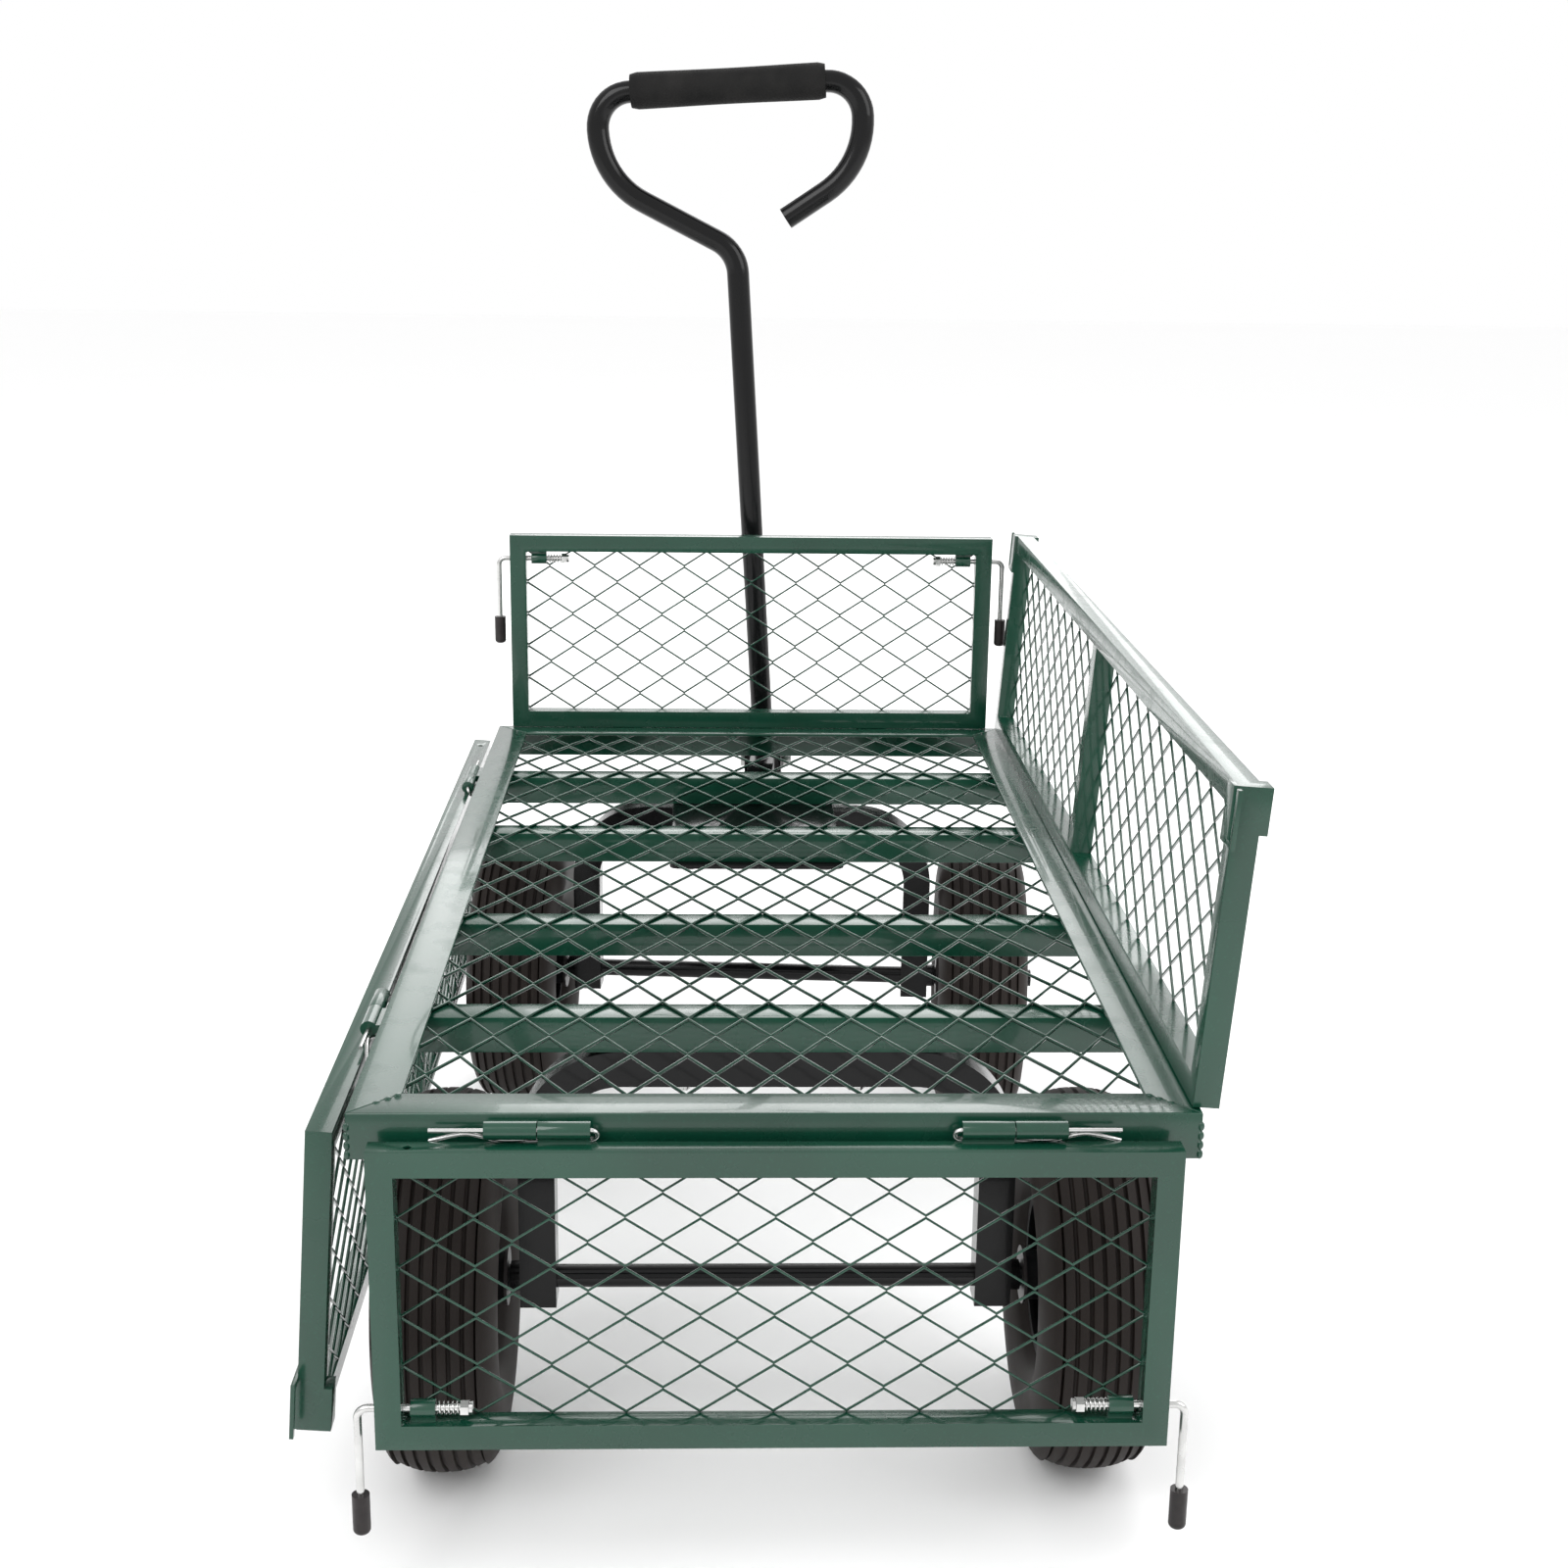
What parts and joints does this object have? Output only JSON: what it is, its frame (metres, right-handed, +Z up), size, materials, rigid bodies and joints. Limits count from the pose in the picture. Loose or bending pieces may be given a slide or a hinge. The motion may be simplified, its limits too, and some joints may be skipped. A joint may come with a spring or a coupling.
{
  "type": "garden cart",
  "caption": "Four-wheeled steel mesh garden cart: flat bed with four fold-down mesh gates, steered front axle and a pull handle with a foam grip.",
  "frame": {"origin": "on the ground, under the middle of the bounding box", "axes": "+Z up, +Y forward to the pull handle, +X to the right-hand side gate, seen from the rear"},
  "size_m": [0.5804, 1.0774, 0.9816],
  "materials": {
    "green_paint": "gloss powder coat",
    "black_paint": "gloss powder coat",
    "rim_paint": "satin paint",
    "zinc": "bright zinc plate",
    "bush": "nylon bush",
    "tyre": "matt rubber",
    "vinyl": "dipped vinyl",
    "foam": "closed-cell foam"
  },
  "bodies": {
    "chassis": {"bed_hinge_sleeves": "green_paint", "cross_members": "green_paint", "deck_mesh": "green_paint", "front_rail": "green_paint", "hinge_clips": "zinc", "kingpin": "zinc", "kingpin_nut": "zinc", "left_rail": "green_paint", "rear_axle": "black_paint", "rear_bow": "black_paint", "rear_rail": "green_paint", "rear_split_pins": "zinc", "right_rail": "green_paint", "steering_bracket": "black_paint", "undercarriage_bolts": "zinc", "undercarriage_nuts": "zinc"},
    "steering": {"drawbar": "black_paint", "front_axle": "black_paint", "front_bow": "black_paint", "front_split_pins": "zinc", "pivot_bolt": "zinc", "pivot_nut": "zinc"},
    "handle": {"grip_foam": "foam", "handle_tube": "black_paint"},
    "front_gate": {"front_gate_frame": "green_paint", "front_gate_mesh": "green_paint"},
    "front_left_wheel": {"front_left_bearings": "bush", "front_left_rim": "rim_paint", "front_left_tyre": "tyre"},
    "front_left_latch": {"front_left_latch_cap": "vinyl", "front_left_latch_rod": "zinc"},
    "front_left_latch_slider": {"front_left_latch_nut": "zinc", "front_left_latch_spring": "zinc"},
    "front_right_wheel": {"front_right_bearings": "bush", "front_right_rim": "rim_paint", "front_right_tyre": "tyre"},
    "front_right_latch": {"front_right_latch_cap": "vinyl", "front_right_latch_rod": "zinc"},
    "front_right_latch_slider": {"front_right_latch_nut": "zinc", "front_right_latch_spring": "zinc"},
    "left_gate": {"left_gate_frame": "green_paint", "left_gate_mesh": "green_paint"},
    "rear_gate": {"rear_gate_frame": "green_paint", "rear_gate_mesh": "green_paint"},
    "rear_left_wheel": {"rear_left_bearings": "bush", "rear_left_rim": "rim_paint", "rear_left_tyre": "tyre"},
    "rear_left_latch": {"rear_left_latch_cap": "vinyl", "rear_left_latch_rod": "zinc"},
    "rear_left_latch_slider": {"rear_left_latch_nut": "zinc", "rear_left_latch_spring": "zinc"},
    "rear_right_wheel": {"rear_right_bearings": "bush", "rear_right_rim": "rim_paint", "rear_right_tyre": "tyre"},
    "rear_right_latch": {"rear_right_latch_cap": "vinyl", "rear_right_latch_rod": "zinc"},
    "rear_right_latch_slider": {"rear_right_latch_nut": "zinc", "rear_right_latch_spring": "zinc"},
    "right_gate": {"right_gate_frame": "green_paint", "right_gate_mesh": "green_paint"}
  },
  "joints": [
    {"name": "steer", "type": "hinge", "parent": "chassis", "child": "steering", "pos_m": [0, 0.28628, 0.296], "axis": [0, 0, 1], "range_deg": [-5, 13]},
    {"name": "handle_tilt", "type": "hinge", "parent": "steering", "child": "handle", "pos_m": [0.01618, 0.51772, 0.2835], "axis": [-0.9976, 0.0698, 0], "range_deg": [0, 108]},
    {"name": "front_left_wheel_spin", "type": "hinge", "parent": "steering", "child": "front_left_wheel", "pos_m": [-0.21847, 0.30156, 0.13], "axis": [0.9976, -0.0698, 0], "continuous": true},
    {"name": "rear_left_wheel_spin", "type": "hinge", "parent": "chassis", "child": "rear_left_wheel", "pos_m": [-0.219, -0.32772, 0.13], "axis": [1, 0, 0], "continuous": true},
    {"name": "front_right_wheel_spin", "type": "hinge", "parent": "steering", "child": "front_right_wheel", "pos_m": [0.21847, 0.27101, 0.13], "axis": [0.9976, -0.0698, 0], "continuous": true},
    {"name": "rear_right_wheel_spin", "type": "hinge", "parent": "chassis", "child": "rear_right_wheel", "pos_m": [0.219, -0.32772, 0.13], "axis": [1, 0, 0], "continuous": true},
    {"name": "rear_gate_swing", "type": "hinge", "parent": "chassis", "child": "rear_gate", "pos_m": [0, -0.51772, 0.325], "axis": [-1, 0, 0], "range_deg": [0, 180]},
    {"name": "front_gate_swing", "type": "hinge", "parent": "chassis", "child": "front_gate", "pos_m": [0, 0.46528, 0.325], "axis": [-1, 0, 0], "range_deg": [0, 9]},
    {"name": "left_gate_swing", "type": "hinge", "parent": "chassis", "child": "left_gate", "pos_m": [-0.264, -0.02622, 0.325], "axis": [0, 1, 0], "range_deg": [0, 172]},
    {"name": "right_gate_swing", "type": "hinge", "parent": "chassis", "child": "right_gate", "pos_m": [0.264, -0.02622, 0.325], "axis": [0, 1, 0], "range_deg": [0, 172]},
    {"name": "front_left_latch_pull", "type": "slide", "parent": "front_gate", "child": "front_left_latch_slider", "axis": [-1, 0, 0], "range_m": [0, 0.0035], "stiffness_N_per_m": 600, "springref_m": -0.004, "deforming": ["front_left_latch_spring"]},
    {"name": "front_left_latch_turn", "type": "hinge", "parent": "front_left_latch_slider", "child": "front_left_latch", "pos_m": [-0.2305, 0.45828, 0.5035], "axis": [1, 0, 0], "range_deg": [0, 180]},
    {"name": "front_right_latch_pull", "type": "slide", "parent": "front_gate", "child": "front_right_latch_slider", "axis": [1, 0, 0], "range_m": [0, 0.0035], "stiffness_N_per_m": 600, "springref_m": -0.004, "deforming": ["front_right_latch_spring"]},
    {"name": "front_right_latch_turn", "type": "hinge", "parent": "front_right_latch_slider", "child": "front_right_latch", "pos_m": [0.2305, 0.45828, 0.5035], "axis": [1, 0, 0], "range_deg": [0, 180]},
    {"name": "rear_left_latch_pull", "type": "slide", "parent": "rear_gate", "child": "rear_left_latch_slider", "axis": [-1, 0, 0], "range_m": [0, 0.0035], "stiffness_N_per_m": 600, "springref_m": -0.004, "deforming": ["rear_left_latch_spring"]},
    {"name": "rear_left_latch_turn", "type": "hinge", "parent": "rear_left_latch_slider", "child": "rear_left_latch", "pos_m": [-0.2305, -0.52472, 0.1465], "axis": [-1, 0, 0], "range_deg": [0, 180]},
    {"name": "rear_right_latch_pull", "type": "slide", "parent": "rear_gate", "child": "rear_right_latch_slider", "axis": [1, 0, 0], "range_m": [0, 0.0035], "stiffness_N_per_m": 600, "springref_m": -0.004, "deforming": ["rear_right_latch_spring"]},
    {"name": "rear_right_latch_turn", "type": "hinge", "parent": "rear_right_latch_slider", "child": "rear_right_latch", "pos_m": [0.2305, -0.52472, 0.1465], "axis": [-1, 0, 0], "range_deg": [0, 180]}
  ]
}
